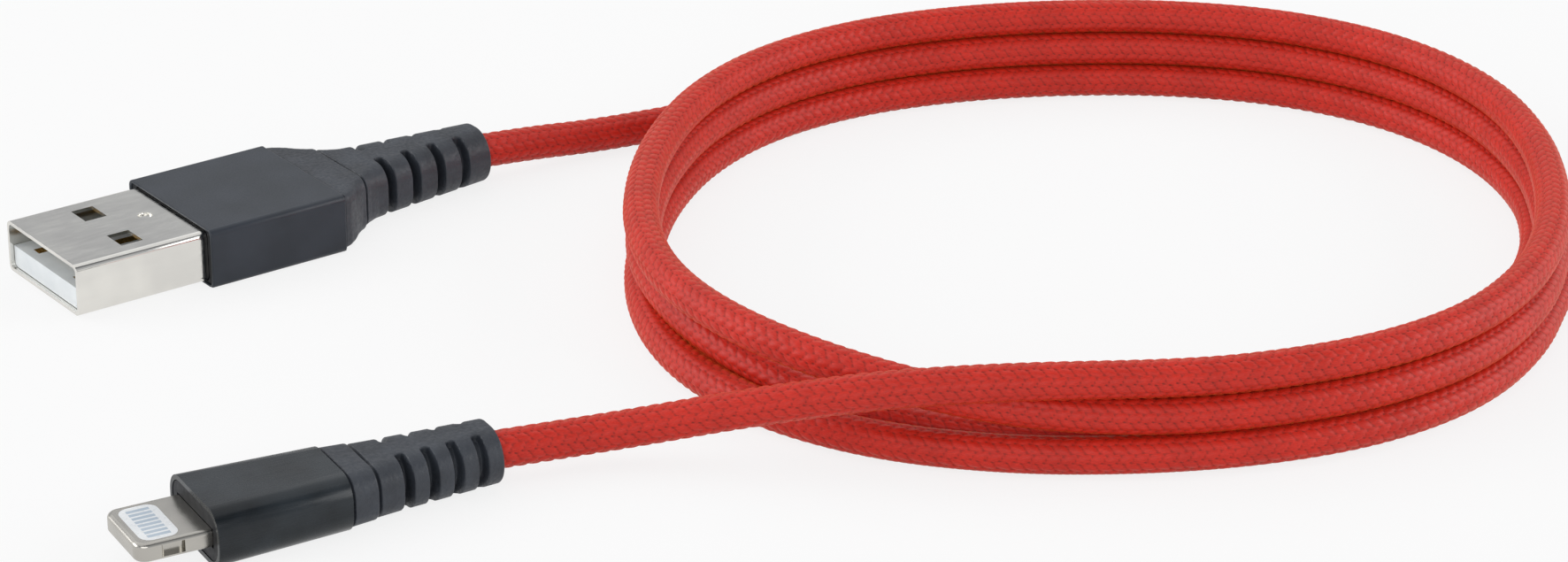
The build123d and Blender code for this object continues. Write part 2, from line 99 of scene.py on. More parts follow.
# %% [markdown]
# ## The cord's two leads
#
# Each end of the cord leaves its plug straight. One sinks to the table and joins the coil at its
# back, and the other comes down from the top of the coil. A simulation could find these lines, but
# it would never give the same length twice. A few places set in millimetres do, and the smooth
# curve that they pull is the one that a springy cord takes.

# %% Cord: leads
CORD = 3.0 * MM  # its diameter
PLUG_X, PLUG_Z = 21.6 * MM, 2.6 * MM  # where it leaves the charger plug
PHONE_AT = Vector((-32.98, -46.08, 2.35)) * MM  # the front of the phone plug's housing
PHONE_YAW = math.radians(-7.45)
PHONE_X_CORD = 23.95 * MM  # from there to where the cord leaves the phone plug
CHARGER_LEAD = [(27.4, -0.15, 2.1), (33.0, -0.9, 1.6), (40.0, -2.1, 1.5), (49.0, -3.5, 1.5)]
PHONE_LEAD = [
    (-2.5, -50.65, 2.1),
    (2.0, -53.5, 2.9),
    (6.6, -57.4, 4.3),
    (11.2, -61.6, 5.7),
    (16.6, -66.2, 6.9),
    (24.0, -71.6, 7.5),
]
print("lead points:", len(CHARGER_LEAD), "and", len(PHONE_LEAD))

# %% [markdown]
# ## The coil
#
# Between its leads the cord makes just over three and a half turns. Three turns stand on each
# other as a wall. The half turn left over lies on the table: outside the wall at the back, under
# it at the right, inside it at the front, and it rolls up into the wall at the left. A plain helix
# would be shorter to write, but its turns would pass through that strand. So a loop goes round the
# turns, and three small tables say where the cord is pushed aside, rolls or climbs, which is what
# a hand does as it winds. Distances in the tables are in steps of one cord.

# %% Cord: shape of the coil
COIL_CENTRE = (54.16, -45.64)  # mm
COIL_RADIUS, COIL_FACING = 39.1, 53.0  # mm, and the degrees that its shape is turned by
COIL_OVAL, COIL_SKEW, COIL_SQUARE = 0.27, -1.64, -1.04  # mm out of round
COIL_JOIN, COIL_LEAVE, TURNS_BEFORE_LEAVING = 84.0, -122.0, 3  # degrees, degrees, turns
POINTS_PER_TURN = 24
LEAN = (0.32, 0.51)  # mm that each layer stands back from the one below it
LAYER = 0.962  # steps from layer to layer: the sleeve gives a little where a turn rests
BESIDE = 0.975  # steps between the middles of two turns side by side
# (degrees wound, steps outward): the extra half turn slides from outside the wall to inside it.
ASIDE = [(0, BESIDE), (110, BESIDE), (138, 0), (470, 0), (498, -BESIDE)]
# (degrees wound, degrees rolled): the second turn rolls up over the first.
ROLL = [(590, 0), (655, 90)]
# (degrees wound, steps up): a dip over each sliding place, and the third turn's climb to the top.
LIFT = [
    (814, 0),
    (844, -0.12),
    (874, 0),
    (930, 0),
    (976, 1),
    (1174, 1),
    (1204, 0.88),
    (1234, 1),
]
COIL_WOUND = COIL_JOIN - COIL_LEAVE + 360 * TURNS_BEFORE_LEAVING
print("turns in the coil:", round(COIL_WOUND / 360, 2))


# %% Cord: points of the coil
def ease(keys, at):
    """The value at a place between keyed values, leaving and arriving level."""
    if at <= keys[0][0]:
        return keys[0][1]
    for (a, low), (b, high) in zip(keys, keys[1:]):
        if at <= b:
            t = (at - a) / (b - a)
            return low + (high - low) * t * t * (3 - 2 * t)
    return keys[-1][1]


def wall_radius(angle):
    """The coil is not quite round: its radius in mm, in a direction given in degrees."""
    turn = math.radians(angle - COIL_FACING)
    return (
        COIL_RADIUS
        + COIL_OVAL * math.cos(2 * turn)
        + COIL_SKEW * math.sin(2 * turn)
        + COIL_SQUARE * math.cos(4 * turn)
    )


def coil_points():
    """The coil's points in mm, one after another as it is wound."""
    step = 360 / POINTS_PER_TURN
    spread = 1 / math.cos(math.radians(step / 2))  # a quadratic spline runs inside its points
    points = []
    for wound in [k * step for k in range(int(COIL_WOUND / step) + 1)] + [COIL_WOUND]:
        roll = math.radians(ease(ROLL, wound))
        climb = math.sin(roll) + ease(LIFT, wound)
        aside = ease(ASIDE, wound) * math.cos(roll) * CORD / MM
        angle = math.radians(COIL_JOIN - wound)
        radius = wall_radius(COIL_JOIN - wound) * spread + aside
        points.append(
            (
                COIL_CENTRE[0] + radius * math.cos(angle) + LEAN[0] * (climb - 1),
                COIL_CENTRE[1] + radius * math.sin(angle) + LEAN[1] * (climb - 1),
                CORD / MM * (0.5 + LAYER * climb),  # half a cord up when it lies on the table
            )
        )
    return points


def route_points():
    """The cord's whole route, from the charger plug through the coil to the phone plug."""
    charger_end = (PLUG_X / MM, 0, PLUG_Z / MM)
    route = [charger_end, *CHARGER_LEAD, *coil_points(), *reversed(PHONE_LEAD)]
    phone_axis = Vector((math.cos(PHONE_YAW), math.sin(PHONE_YAW), 0))
    return [Vector(p) * MM for p in route] + [PHONE_AT + phone_axis * PHONE_X_CORD]


cord_route = route_points()
print("route points:", len(cord_route))

# %% [markdown]
# ## One smooth line
#
# A curve object with a round bevel could be the cord, but its surface would be a plain tube. The
# weave needs the line itself. So the route becomes a quadratic NURBS spline, the smooth line that
# its points pull without touching, and Blender reads it back as a mesh of closely spaced points.

# %% Cord: smooth line
SAMPLES_PER_POINT = 12


def nurbs_line(points):
    """The smooth line through the route, read back as closely spaced points."""
    curve = bpy.data.curves.new("route", "CURVE")
    curve.dimensions = "3D"
    curve.resolution_u = SAMPLES_PER_POINT
    spline = curve.splines.new("NURBS")
    spline.points.add(len(points) - 1)
    for target, point in zip(spline.points, points):
        target.co = (*point, 1)
    spline.order_u = 3
    spline.use_endpoint_u = True
    holder = bpy.data.objects.new("route", curve)
    mesh = bpy.data.meshes.new_from_object(holder)
    line = np.array([v.co for v in mesh.vertices])
    bpy.data.meshes.remove(mesh)
    bpy.data.objects.remove(holder)
    bpy.data.curves.remove(curve)
    return line


cord_line = nurbs_line(cord_route)

# %% [markdown]
# ## Helpers for materials
#
# Materials are built from nodes, in code, so that each one can be read and changed as text. One
# function adds a node with its settings and links, and one turns an sRGB hex colour, as a colour
# card gives it, to the linear light that Cycles works in. A pattern is laid out in millimetres of
# the object's own space, so the size of its grain is a real size on every piece.

# %% Material helpers
SRGB_TOE, SRGB_TOE_SLOPE = 0.04045, 12.92  # the straight part of the sRGB curve, near black


def linear(hex_colour):
    """A hex colour's red, green and blue as linear light, and an alpha of 1."""
    channels = [int(hex_colour[i : i + 2], 16) / 255 for i in (1, 3, 5)]
    light = [c / SRGB_TOE_SLOPE if c <= SRGB_TOE else ((c + 0.055) / 1.055) ** 2.4 for c in channels]
    return (*light, 1.0)


def add(tree, kind, settings=None, **inputs):
    """One node. Settings are its own, and inputs are values or the sockets that feed it.

    An input is named as its socket is, with _ for a space. Where several sockets share a name it
    is _ and the socket's place in the list: a Mix node's two colours are _6 and _7.
    """
    node = tree.nodes.new("ShaderNode" + kind)
    for name, value in (settings or {}).items():
        setattr(node, name, value)
    for name, value in inputs.items():
        socket = node.inputs[int(name[1:]) if name[0] == "_" else name.replace("_", " ")]
        if isinstance(value, bpy.types.NodeSocket):
            tree.links.new(value, socket)
        else:
            socket.default_value = value
    return node


def set_stops(ramp, first, second):
    """A colour ramp's two stops, each a place from 0 to 1 and a hex colour."""
    for stop, (place, colour) in zip(ramp.color_ramp.elements, (first, second)):
        stop.position = place
        stop.color = linear(colour)


def new_material(name):
    """An empty material and its node tree."""
    material = bpy.data.materials.new(name)
    material.use_nodes = True
    material.node_tree.nodes.clear()
    return material, material.node_tree


def in_millimetres(tree, marks, yaw=0.0):
    """Places on a piece, counted in marks of a length along it and a width across it, in mm."""
    place = add(tree, "TexCoord")
    turned = add(tree, "Mapping", Vector=place.outputs["Object"], Rotation=(0, 0, -yaw))
    along, across = (1 / (mark * MM) for mark in marks)
    scaled = add(tree, "Mapping", Vector=turned.outputs[0], Scale=(along, across, across))
    return scaled.outputs[0]


print("middle grey in linear light:", round(linear("#808080")[0], 3))

# %% [markdown]
# ## The woven sleeve: a tube of rings
#
# The cord is seen from close by, and its outline shows its stitches. A bump pattern would leave
# that outline straight, and a displace modifier would need a texture fitted to every bend. Here
# the tube's own rings of points carry the relief. The line is cut into even steps, and each step
# gets two directions across the cord that turn as little as possible on the way, so that the weave
# never twists.

# %% Cord: rings into a mesh
POINTS_PER_STITCH = 6
ROWS = 12  # of stitches round the cord
AROUND = ROWS * POINTS_PER_STITCH


def link(name, mesh):
    """A mesh put into the scene as an object."""
    body = bpy.data.objects.new(name, mesh)
    bpy.context.scene.collection.objects.link(body)
    return body


def grid_mesh(name, vertices, rings, around):
    """A smooth-shaded tube of quads from rings of points."""
    i = np.arange(rings - 1)[:, None] * around
    j = np.arange(around)[None, :]
    k = (j + 1) % around
    faces = np.stack([i + j, i + k, i + around + k, i + around + j], -1).reshape(-1, 4)
    mesh = bpy.data.meshes.new(name)
    mesh.vertices.add(len(vertices))
    mesh.vertices.foreach_set("co", np.ascontiguousarray(vertices, dtype=np.float32).ravel())
    mesh.loops.add(faces.size)
    mesh.loops.foreach_set("vertex_index", faces.ravel())
    mesh.polygons.add(len(faces))
    mesh.polygons.foreach_set("loop_start", np.arange(0, faces.size, 4))
    mesh.polygons.foreach_set("use_smooth", np.ones(len(faces), bool))
    mesh.update(calc_edges=True)
    return mesh


print("points round the cord:", AROUND)

# %% Cord: even steps
STITCH = 1.08 * MM  # along the cord


def resample(line, step):
    """The line in even steps, and how far along it each of them is."""
    gaps = np.linalg.norm(np.diff(line, axis=0), axis=1)
    run = np.concatenate([[0], np.cumsum(gaps)])
    places = np.linspace(0, run[-1], max(2, int(round(run[-1] / step)) + 1))
    return np.stack([np.interp(places, run, line[:, k]) for k in range(3)], 1), places


def directions_across(line):
    """Two crossways directions at each point, turned as little as possible on the way."""
    tangents = np.gradient(line, axis=0)
    tangents /= np.linalg.norm(tangents, axis=1)[:, None]
    side = np.cross(tangents[0], [0, 0, 1.0])
    side /= np.linalg.norm(side)
    sides = [side]
    for tangent in tangents[1:]:
        side = side - tangent * (side @ tangent)
        side = side / np.linalg.norm(side)
        sides.append(side)
    sides = np.array(sides)
    return sides, np.cross(tangents, sides)


ring_middles, ring_runs = resample(cord_line, STITCH / POINTS_PER_STITCH)
print("rings along the cord:", len(ring_middles))

# %% [markdown]
# ## The woven sleeve: its stitches
#
# A braiding machine lays two families of flat yarn bundles round the jacket, each passing over two
# and under two, so the eye sees rows of short slanted stitches that run along the cord and lean
# left and right by turns. Every bundle could be its own ribbon, at many times the points. From
# outside only one skin shows, so one height for each place on it is enough: a plump mound for each
# stitch, a little higher at the end that lies on top, and a crevice round it.

# %% Cord: one stitch
SLANT = 0.45  # how far along a stitch its slant carries it across one row, in stitches
RELIEF = 0.16 * MM  # from crevice to crown
CORE_RADIUS = CORD / 2 - 0.1 * MM
MEAN_HEIGHT = 0.35  # of the weave, in reliefs
PLUMPNESS = 2.6  # 2 would be a round mound, and more is fuller
ROW_DROP = 0.85  # how deep the crevice between two rows is, in reliefs
TOP_END = 0.2  # how much higher the top end of a stitch is than its middle


def mound(drop):
    """What is left of a mound's height of 1 after a drop: steep at its foot, flat on its crown."""
    return np.sqrt(np.clip(1 - drop, 0, 1))


def stitch_height(turn, run):
    """Height of the weave, from 0 in a crevice to 1 on a crown, at a turn of 0 to 1 and a run."""
    row = np.floor(turn * ROWS)
    across = turn * ROWS - row - 0.5
    lean = np.where(row % 2 == 0, 1.0, -1.0)
    phase = run / STITCH + lean * across * SLANT + 0.5 * (row % 2)
    along = 2 * (phase - np.round(phase))  # from -1 to 1 along each stitch
    lengthwise = mound(np.abs(along) ** PLUMPNESS)
    crosswise = mound(ROW_DROP * np.abs(2 * across) ** PLUMPNESS)
    return lengthwise * crosswise * (1 - TOP_END * along)


middle_of_row = np.array([0.5 / ROWS])
print("height of a crown:", round(float(stitch_height(middle_of_row, 0.0)[0]), 2))


# %% Cord: woven tube
def lay_out_weave(mesh, run):
    """Places on the sleeve for its material: turns round the cord, and stitches along it."""
    i = np.arange(len(run) - 1)[:, None] + 0 * np.arange(AROUND)[None, :]
    j = np.arange(AROUND)[None, :] + 0 * i
    around = (np.stack([j, j + 1, j + 1, j], -1) + 0.5) / AROUND
    along = run[np.stack([i, i, i + 1, i + 1], -1)] / STITCH
    layer = mesh.uv_layers.new(name="Weave")
    layer.data.foreach_set("uv", np.stack([around, along], -1).astype(np.float32).ravel())


def woven_tube(name, points, run):
    """The sleeve's skin: rings of points, each as far out as the weave is high there."""
    sides, ups = directions_across(points)
    turn = np.arange(AROUND) / AROUND
    height = stitch_height((turn[None, :] + 0.5 / AROUND) % 1, run[:, None])
    radius = CORE_RADIUS + RELIEF * (height - MEAN_HEIGHT)
    angle = 2 * np.pi * turn[None, :, None]
    ring = np.cos(angle) * sides[:, None, :] + np.sin(angle) * ups[:, None, :]
    vertices = (points[:, None, :] + radius[..., None] * ring).reshape(-1, 3)
    mesh = grid_mesh(name, vertices, len(points), AROUND)
    lay_out_weave(mesh, run)
    crown = mesh.attributes.new("crown", "FLOAT", "POINT")
    crown.data.foreach_set("value", height.ravel().astype(np.float32))
    return link(name, mesh)


cord = woven_tube("woven_cord", ring_middles, ring_runs)
print("cord faces:", len(cord.data.polygons))

# %% [markdown]
# ## Woven nylon
#
# Dyed polyamide yarn is semi-glossy and soft at its edges. The crowns of its stitches are rubbed smooth
# and glossy and keep the yarn's own bright red. The crevices between them are painted a darker, browner
# red: painted shade, where the neighbouring stitches would shade them. An image of a weave could paint
# that, but it would have to be fitted to the relief. The mesh already knows how high each point stands,
# so that height, stored as "crown", steers both the colour and the gloss.

# %% Material: woven nylon
FILAMENTS_PER_ROW = 10  # drawn 0.08 mm wide, coarser than real ones of 0.03 mm, to show at all
FLECKS_PER_STITCH = 3.2
FLECK_SPAN, FLECK_SHADES = (0.25, 0.75), (0.82, 1.12)  # noise, and how dark and bright it makes
PATCH = 3.086 * MM  # how long the dye stays one shade
NOISE_SPAN, PATCH_SHADES = (0.3, 0.7), (0.92, 1.06)  # most of a noise lies in that span
CREVICE_ROUGH, CROWN_ROUGH = 0.7, 0.42


def woven_nylon():
    """Dyed yarn: brown-red painted shade in the crevices, glossier crowns in the yarn's own red, and
    single filaments.
    """
    material, tree = new_material("woven nylon")
    weave = add(tree, "UVMap", {"uv_map": "Weave"})
    crown = add(tree, "Attribute", {"attribute_name": "crown"})
    fine = add(
        tree,
        "Mapping",
        Vector=weave.outputs["UV"],
        Scale=(ROWS * FILAMENTS_PER_ROW, FLECKS_PER_STITCH, 1.0),
    )
    flat = {"noise_dimensions": "2D"}
    filaments = add(tree, "TexNoise", flat, Vector=fine.outputs[0], Scale=1.0, Detail=3.0)
    patches = add(
        tree, "TexNoise", flat, Vector=weave.outputs["UV"], Scale=STITCH / PATCH, Detail=2.0
    )
    ramp = add(tree, "ValToRGB", Fac=crown.outputs["Fac"])
    # The crevice stop is painted shade, a browner dark red where the stitches would shade each other.
    # The crown stop is the yarn's own red.
    set_stops(ramp, (0.05, "#66241A"), (0.62, "#CA2818"))
    fleck = add(
        tree,
        "MapRange",
        Value=filaments.outputs["Fac"],
        From_Min=FLECK_SPAN[0],
        From_Max=FLECK_SPAN[1],
        To_Min=FLECK_SHADES[0],
        To_Max=FLECK_SHADES[1],
    )
    shade = add(
        tree,
        "MapRange",
        Value=patches.outputs["Fac"],
        From_Min=NOISE_SPAN[0],
        From_Max=NOISE_SPAN[1],
        To_Min=PATCH_SHADES[0],
        To_Max=PATCH_SHADES[1],
    )
    times = {"data_type": "RGBA", "blend_type": "MULTIPLY"}
    # The crevices' painted shade times the filaments' flecks, then times the dye's patches.
    shade_and_flecks = add(tree, "Mix", times, Factor=1.0, _6=ramp.outputs["Color"], _7=fleck.outputs[0])
    dye_and_crevice_shade = add(tree, "Mix", times, Factor=1.0, _6=shade_and_flecks.outputs[2], _7=shade.outputs[0])
    rough = add(
        tree, "MapRange", Value=crown.outputs["Fac"], To_Min=CREVICE_ROUGH, To_Max=CROWN_ROUGH
    )
    bump = add(tree, "Bump", Height=filaments.outputs["Fac"], Strength=0.35, Distance=0.05 * MM)
    shader = add(
        tree,
        "BsdfPrincipled",
        Base_Color=dye_and_crevice_shade.outputs[2],
        Roughness=rough.outputs[0],
        Normal=bump.outputs[0],
        Sheen_Weight=0.5,
        Sheen_Roughness=0.3,
        Sheen_Tint=linear("#EA8A3C"),
        Specular_IOR_Level=0.35,
    )
    add(tree, "OutputMaterial", Surface=shader.outputs[0])
    return material


nylon = woven_nylon()
cord.data.materials.append(nylon)
print("cord finish:", nylon.name, "nodes:", len(nylon.node_tree.nodes))

# %% [markdown]
# ## Strain reliefs: sizes
#
# Each plug ends in a soft moulded sleeve, slotted on both sides so that it bends in an even curve,
# and a short collar of the same rubber joins the sleeve to the housing. Boxes with slots cut by a
# boolean would have knife edges. A table of sections is how such a sleeve is drawn for its mould:
# each row is (mm from its start, width, height, corner radius).

# %% Strain reliefs: sizes
CHARGER_PLACE = Matrix.Translation((0, 0, PLUG_Z))
PHONE_PLACE = Matrix.Translation(PHONE_AT) @ Matrix.Rotation(PHONE_YAW, 4, "Z")
CHARGER_COLLAR_START = 4.2  # mm along the charger plug's axis
PHONE_CASE_LENGTH = 10.95
CHARGER_COLLAR = [
    (0, 13.6, 4.9, 0.6),
    (0.7, 13.2, 4.9, 0.7),
    (1.5, 12.1, 4.9, 0.8),
    (2.2, 10.8, 4.9, 1.0),
    (2.9, 9.8, 4.9, 1.1),
    (3.4, 9.4, 4.9, 1.2),
]
CHARGER_BOOT = [
    (0, 9.1, 4.8, 1.2),
    (0.8, 8.3, 4.8, 1.4),
    (1.8, 7.6, 4.8, 1.6),
    (3.6, 7.1, 4.9, 1.8),
    (14.0, 5.3, 5.0, 2.4),
]
PHONE_COLLAR = [(0, 7.7, 4.4, 1.7), (2.3, 7.2, 4.35, 1.7)]
PHONE_BOOT = [
    (0, 6.9, 4.3, 1.7),
    (1.0, 6.7, 4.3, 1.7),
    (2.2, 6.5, 4.35, 1.8),
    (10.7, 5.5, 4.6, 2.25),
]
CHARGER_SLOTS, PHONE_SLOTS = (3.3, 2.65, 0.8), (2.65, 2.1, 0.75)  # mm: first, pitch, width
SLOTS, SLOT_CORE, SPINE = 4, 1.8, 2.3  # how many, the core's radius and the spine's width, mm
SLOT_LIP_INSIDE, SLOT_LIP_OUTSIDE = 0.1, 0.08  # mm over which a slot's edge rounds off
LIP = 0.16  # mm of rounding on the sleeves' own edges
GROOVE, GROOVE_DEPTH = 0.3, 0.3  # mm: the thin line round a sleeve's front
print("sleeve lengths, mm:", CHARGER_BOOT[-1][0], "and", PHONE_BOOT[-1][0])

# %% [markdown]
# ## Strain reliefs: one grid of points each
#
# A sleeve is a rounded rectangle that changes along its axis. It could be modelled from a box with
# a subdivision surface, but its slots need edges in just the right places. One fine grid of rings
# needs none: its rings follow the section table, and each slot is a smooth dent down to the core,
# with the rounded lips that come out of a mould.

# %% Strain reliefs: sections
RING_STEP = 0.05  # mm
SMOOTHED_RINGS = 11  # the section table's corners are eased over this many


def section_distance(half_width, half_height, corner, angle):
    """How far a rounded rectangle's edge is from its middle, in each direction."""
    nearly_none = 1e-6
    c, s = np.abs(np.cos(angle)), np.abs(np.sin(angle))
    to_side = half_width / np.maximum(c, nearly_none)
    to_top = half_height / np.maximum(s, nearly_none)
    centre_y, centre_z = half_width - corner, half_height - corner
    along = centre_y * c + centre_z * s
    reach = along**2 - centre_y**2 - centre_z**2 + corner**2
    to_corner = along + np.sqrt(np.maximum(reach, 0))
    on_side, on_top = to_side * s <= centre_z, to_top * c <= centre_y
    return np.where(on_side, to_side, np.where(on_top, to_top, to_corner))


def eased_sections(sections):
    """The rings' places along a sleeve, and each ring's width, height and corner."""
    runs, *columns = np.array(sections, float).T
    rings = np.linspace(0, runs[-1], int(runs[-1] / RING_STEP) + 1)
    window = np.hanning(SMOOTHED_RINGS)
    window /= window.sum()
    eased = []
    for values in columns:
        fine = np.interp(rings, runs, values)
        ends = np.pad(fine, SMOOTHED_RINGS // 2, mode="reflect", reflect_type="odd")
        eased.append(np.convolve(ends, window, "valid")[:, None])
    return rings, eased


print("rings in the longest sleeve:", len(eased_sections(CHARGER_BOOT)[0]))

# %% Strain reliefs: slots and skin
SLEEVE_AROUND = 224  # points round a sleeve


def smoothstep(low, high, value):
    """From 0 below the low value to 1 above the high one, leaving and arriving level."""
    t = np.clip((value - low) / (high - low), 0, 1)
    return t * t * (3 - 2 * t)


def slot_dents(rings, radius, angle, slots):
    """The sleeve's surface with its slots: down to the core, but not through the spines."""
    first, pitch, slot_width = slots
    across = np.abs(radius * np.cos(angle))
    for k in range(SLOTS):
        off = rings[:, None] - (first + k * pitch)
        past_end = np.maximum(SPINE / 2 + slot_width / 2 - across, 0)
        away = np.sqrt(off**2 + past_end**2)
        edge = slot_width / 2
        dent = 1 - smoothstep(edge - SLOT_LIP_INSIDE, edge + SLOT_LIP_OUTSIDE, away)
        radius = radius + (np.minimum(SLOT_CORE, radius) - radius) * dent
    return radius


def sleeve(name, place, start, sections, slots=None, groove=False):
    """A moulded sleeve on a plug's axis, with its slots and front groove if it has them."""
    rings, (width, height, corner) = eased_sections(sections)
    angle = 2 * np.pi * np.arange(SLEEVE_AROUND)[None, :] / SLEEVE_AROUND
    radius = section_distance(width / 2, height / 2, corner, angle)
    near_end = np.minimum(rings, rings[-1] - rings)[:, None]
    inset = np.clip(LIP - near_end, 0, LIP)
    radius = radius - (LIP - np.sqrt(np.maximum(LIP**2 - inset**2, 0)))
    if groove:
        radius = radius - GROOVE_DEPTH * (1 - smoothstep(GROOVE / 2, GROOVE, rings[:, None]))
    if slots:
        radius = slot_dents(rings, radius, angle, slots)
    hole = np.full((1, SLEEVE_AROUND), CORD / MM / 2)
    radius = np.concatenate([hole, radius, hole])
    rings = np.concatenate([rings[:1], rings, rings[-1:]])
    x = np.broadcast_to(start + rings[:, None], radius.shape)
    local = np.stack([x, radius * np.cos(angle), radius * np.sin(angle)], -1).reshape(-1, 3) * MM
    spots = local @ np.array(place.to_3x3()).T + np.array(place.translation)
    return link(name, grid_mesh(name, spots, len(rings), SLEEVE_AROUND))


print("points round a sleeve:", SLEEVE_AROUND)

# %% [markdown]
# ## Moulded elastomer
#
# Both sleeves and collars are a soft thermoplastic rubber, moulded in a spark-eroded steel tool.
# To the eye it is nearly black and matt, with a fine grain that only shows where light grazes it.
# Plain dark grey would look like painted wood. So the grain is a noise that both roughens the gloss
# and bumps the surface, and a slower noise shades the places that hands have rubbed.

# %% Material: moulded elastomer
GRIT = 0.3125  # mm, drawn coarser than the real grain of about 0.05 mm, to show at all
RUBBED = 2.857  # mm
ELASTOMER_ROUGH = (0.42, 0.62)
POLYMER_IOR = 1.5  # polymers all refract about alike


def moulded_elastomer():
    """Matt, nearly black rubber with a moulded grain."""
    material, tree = new_material("moulded elastomer")
    at_grit = in_millimetres(tree, (GRIT, GRIT))
    at_rubbed = in_millimetres(tree, (RUBBED, RUBBED))
    grit = add(tree, "TexNoise", Vector=at_grit, Scale=1.0, Detail=2.0)
    rubbed = add(tree, "TexNoise", Vector=at_rubbed, Scale=1.0, Detail=3.0)
    tone = add(tree, "ValToRGB", Fac=rubbed.outputs[0])
    set_stops(tone, (0.35, "#272B32"), (0.7, "#363B43"))
    rough = add(
        tree,
        "MapRange",
        Value=grit.outputs[0],
        From_Min=NOISE_SPAN[0],
        From_Max=NOISE_SPAN[1],
        To_Min=ELASTOMER_ROUGH[0],
        To_Max=ELASTOMER_ROUGH[1],
    )
    bump = add(tree, "Bump", Height=grit.outputs[0], Strength=0.6, Distance=0.07 * MM)
    shader = add(
        tree,
        "BsdfPrincipled",
        Base_Color=tone.outputs[0],
        Roughness=rough.outputs[0],
        Normal=bump.outputs[0],
        IOR=POLYMER_IOR,
    )
    add(tree, "OutputMaterial", Surface=shader.outputs[0])
    return material


elastomer = moulded_elastomer()
print("sleeve finish:", elastomer.name)

# %% Strain reliefs: make them
CHARGER_BOOT_START = CHARGER_COLLAR_START + CHARGER_COLLAR[-1][0]
PHONE_BOOT_START = PHONE_CASE_LENGTH + PHONE_COLLAR[-1][0]
SLEEVES = [
    ("charger_collar", CHARGER_PLACE, CHARGER_COLLAR_START, CHARGER_COLLAR, None, False),
    ("charger_boot", CHARGER_PLACE, CHARGER_BOOT_START, CHARGER_BOOT, CHARGER_SLOTS, True),
    ("phone_collar", PHONE_PLACE, PHONE_CASE_LENGTH, PHONE_COLLAR, None, True),
    ("phone_boot", PHONE_PLACE, PHONE_BOOT_START, PHONE_BOOT, PHONE_SLOTS, True),
]
for name, place, start, sections, slots, groove in SLEEVES:
    piece = sleeve(name + "_moulded", place, start, sections, slots, groove)
    piece.data.materials.append(elastomer)
    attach(piece, "root")
    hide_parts(name)
    print(piece.name, "faces:", len(piece.data.polygons))

# %% [markdown]
# ## Metals
#
# A metal's look is its reflections, so it has little colour of its own. An image of scratches
# could be laid over it, but it would stretch on the sides. Here one function makes every metal:
# a slow noise clouds its tone, and a fine one, stretched along the way that the sheet was rolled,
# drawn or brushed, varies its gloss and bumps it by a few thousandths of a millimetre.

# %% Material helper: worked metal
CLOUD = 4.0  # mm


def worked_metal(name, low, high, rough, marks, metallic=1.0, depth=0.0015, yaw=0.0, specular=0.5):
    """A metal or anodised finish. Marks are the length and width of its streaks or grain, mm."""
    material, tree = new_material(name)
    at_marks = in_millimetres(tree, marks, yaw)
    lines = add(tree, "TexNoise", Vector=at_marks, Scale=1.0, Detail=2.0)
    at_cloud = in_millimetres(tree, (CLOUD, CLOUD))
    cloud = add(tree, "TexNoise", Vector=at_cloud, Scale=1.0, Detail=2.0)
    tone = add(tree, "ValToRGB", Fac=cloud.outputs[0])
    set_stops(tone, (0.35, low), (0.65, high))
    finish = add(
        tree,
        "MapRange",
        Value=lines.outputs[0],
        From_Min=NOISE_SPAN[0],
        From_Max=NOISE_SPAN[1],
        To_Min=rough[0],
        To_Max=rough[1],
    )
    bump = add(tree, "Bump", Height=lines.outputs[0], Strength=0.4, Distance=depth * MM)
    shader = add(
        tree,
        "BsdfPrincipled",
        Base_Color=tone.outputs[0],
        Metallic=metallic,
        Roughness=finish.outputs[0],
        Normal=bump.outputs[0],
        Specular_IOR_Level=specular,
    )
    add(tree, "OutputMaterial", Surface=shader.outputs[0])
    return material


print("a metal's tone changes over, mm:", CLOUD)

# %% Materials: the plugs' metals
# Bright and mirror-like, with faint streaks along the way that the sheet was rolled. They are
# drawn a third of a millimetre wide, coarser than real ones, to show at all.
nickel = worked_metal("nickel-plated steel", "#D9D7D2", "#E3E1DB", (0.10, 0.22), (20 / 9, 1 / 3))
# Anodising is a dyed glassy layer on the metal, so it reflects as one does, and not as a metal.
# This housing was blasted first: an even, fine grain with no direction.
anodised = worked_metal(
    "dark anodised aluminium",
    "#2B3037",
    "#32373F",
    (0.34, 0.46),
    (1 / 9, 1 / 9),
    metallic=0.0,
    depth=0.008,
    specular=0.3,
)
# This one was drawn through a die: long fine lines, and a smoother, blacker gloss. Its lines too
# are drawn coarser than real ones, which are under a tenth of a millimetre.
drawn_anodised = worked_metal(
    "dark anodised drawn aluminium",
    "#151A1E",
    "#252B30",
    (0.2, 0.32),
    (10 / 3, 0.2),
    metallic=0.0,
    depth=0.008,
    yaw=PHONE_YAW,
    specular=0.33,
)
# Greyer and softer than the shell: satin plating over stainless steel, almost without streaks.
satin_tab = worked_metal(
    "satin-plated steel",
    "#AEABA5",
    "#B8B5AE",
    (0.22, 0.26),
    (5 / 3, 0.5),
    depth=0.0001,
    yaw=PHONE_YAW,
)
print("plug metals:", [m.name for m in (nickel, anodised, drawn_anodised, satin_tab)])

# %% Materials: contacts and inner metals
# Gold plate is warm and bright, over strips stamped from bronze.
gold = worked_metal("gold plate", "#D9A84E", "#E6BD68", (0.18, 0.3), (1 / 6, 1 / 6))
# The shields' and crimp rings' tinned sheet is duller than nickel.
tin = worked_metal("tinned sheet", "#A9A9A6", "#BDBDBA", (0.28, 0.45), (0.25, 0.25))
# Solder set from liquid: bright, with uneven gloss.
solder_metal = worked_metal("tin solder", "#B4B7B9", "#C8CACB", (0.2, 0.4), (1 / 3, 1 / 3))
